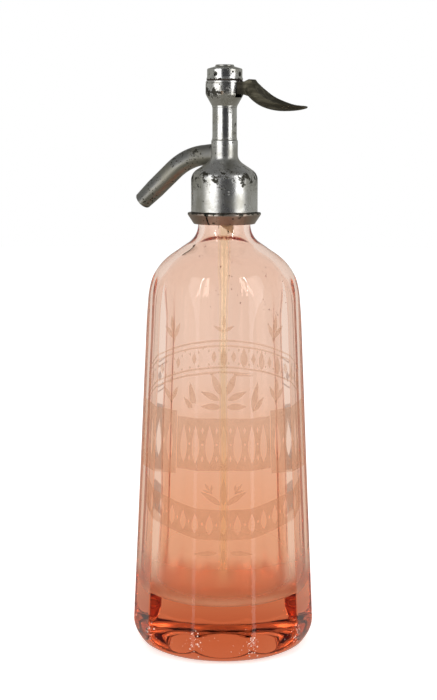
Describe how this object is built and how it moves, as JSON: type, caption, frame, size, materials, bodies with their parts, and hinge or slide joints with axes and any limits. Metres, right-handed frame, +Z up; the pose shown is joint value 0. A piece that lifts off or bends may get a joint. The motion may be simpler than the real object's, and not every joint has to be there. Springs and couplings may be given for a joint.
{
  "type": "soda siphon",
  "caption": "Faceted glass soda siphon bottle with a screwed metal head, curved spout, sprung thumb lever and dip tube.",
  "frame": {"origin": "centre of the bottle's foot, on the bottle's axis, at the face it stands on", "axes": "+Z up the bottle's axis; +X towards the thumb lever's blade, so the spout points to -X; the lever's pin runs along Y"},
  "size_m": [0.1119, 0.0964, 0.3183],
  "materials": {
    "pink_glass": "clear salmon-pink glass with an etched band",
    "tube_glass": "clear pale green-yellow glass",
    "nickel": "dull worn plating",
    "ring_metal": "dull worn metal",
    "dark_brass": "dark tarnished brass",
    "brass": "turned",
    "steel": "turned",
    "spring_steel": "drawn wire",
    "rubber": "aged tan rubber",
    "leather": "greased leather"
  },
  "bodies": {
    "siphon": {"glass_bottle": "pink_glass", "neck_ring_front": "ring_metal", "neck_ring_rear": "ring_metal", "bottle_gasket": "rubber", "head_body": "nickel", "spout": "nickel", "valve_seat": "brass", "tube_sleeve": "rubber", "dip_tube": "tube_glass", "column": "nickel", "rod_packing": "leather", "rod_bush": "brass", "lever_housing": "nickel", "lever_pin": "steel", "cap_washer": "leather", "cap": "nickel", "return_spring": "spring_steel"},
    "valve": {"piston_rod": "brass", "valve_face": "rubber"},
    "thumb_lever": {"lever": "dark_brass"}
  },
  "joints": [
    {"name": "lever_press", "type": "hinge", "parent": "siphon", "child": "thumb_lever", "pos_m": [0.0046, 0, 0.3032], "axis": [0, 1, 0], "range_deg": [0, 13], "stiffness_Nm_per_rad": 0.9, "springref_deg": -20.05},
    {"name": "valve_lift", "type": "slide", "parent": "siphon", "child": "valve", "axis": [0, 0, 1], "range_m": [0, 0.0011], "deforming": ["return_spring"]}
  ],
  "couplings": [
    {"joint": "valve_lift", "follows": "lever_press", "m_per_rad": 0.0046}
  ]
}
